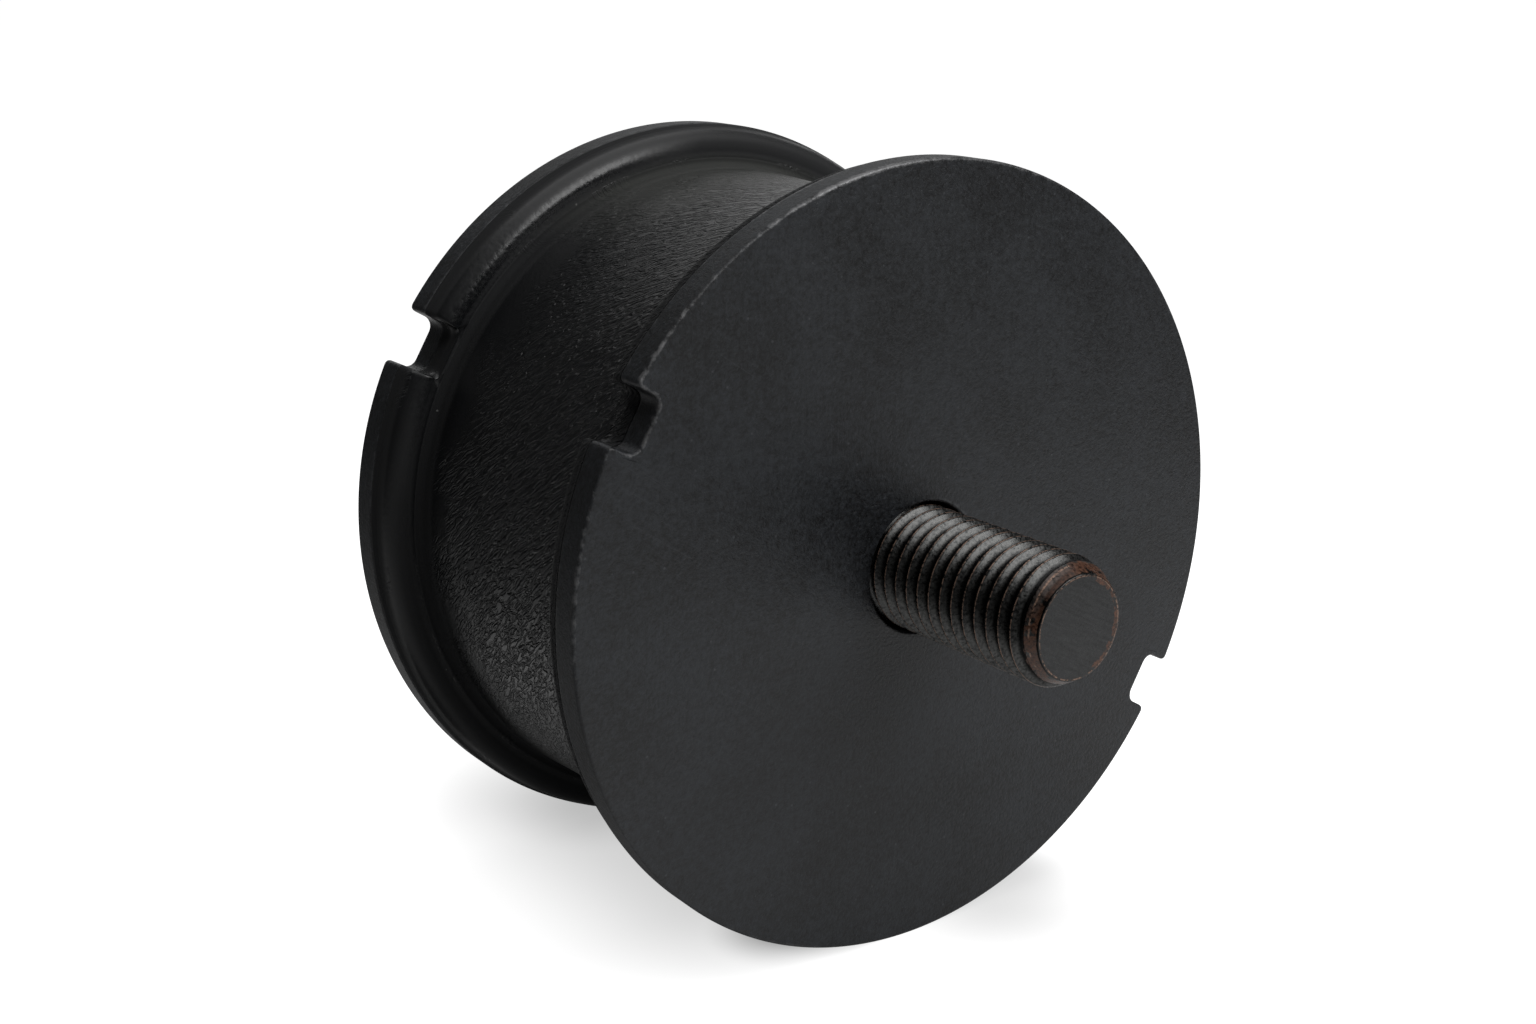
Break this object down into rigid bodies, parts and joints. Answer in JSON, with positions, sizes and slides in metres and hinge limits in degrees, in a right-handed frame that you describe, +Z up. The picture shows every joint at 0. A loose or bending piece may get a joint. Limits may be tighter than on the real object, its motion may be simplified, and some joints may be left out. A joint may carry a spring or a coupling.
{
  "type": "rubber buffer mount",
  "caption": "Cylindrical rubber vibration mount: a waisted rubber block bonded between notched round steel plates, with a coaxial threaded stud through each plate.",
  "frame": {"origin": "middle of the mount, on its axis, halfway between the two plates", "axes": "+Y along the mount's axis towards the rear stud, with the front stud along -Y; +Z up as the mount lies on its rims; +X to the right seen from the front"},
  "size_m": [0.1, 0.109, 0.1],
  "materials": {
    "rubber": "matt moulded natural rubber with a fine wrinkled skin",
    "plate_steel": "black bonding primer on steel, satin, worn bright along the edges",
    "stud_steel": "black oxide on steel, worn on the crests, with light rust at the tip"
  },
  "bodies": {
    "root": {"rubber_body": "rubber", "front_plate": "plate_steel", "rear_plate": "plate_steel", "front_stud": "stud_steel", "rear_stud": "stud_steel"}
  },
  "joints": []
}
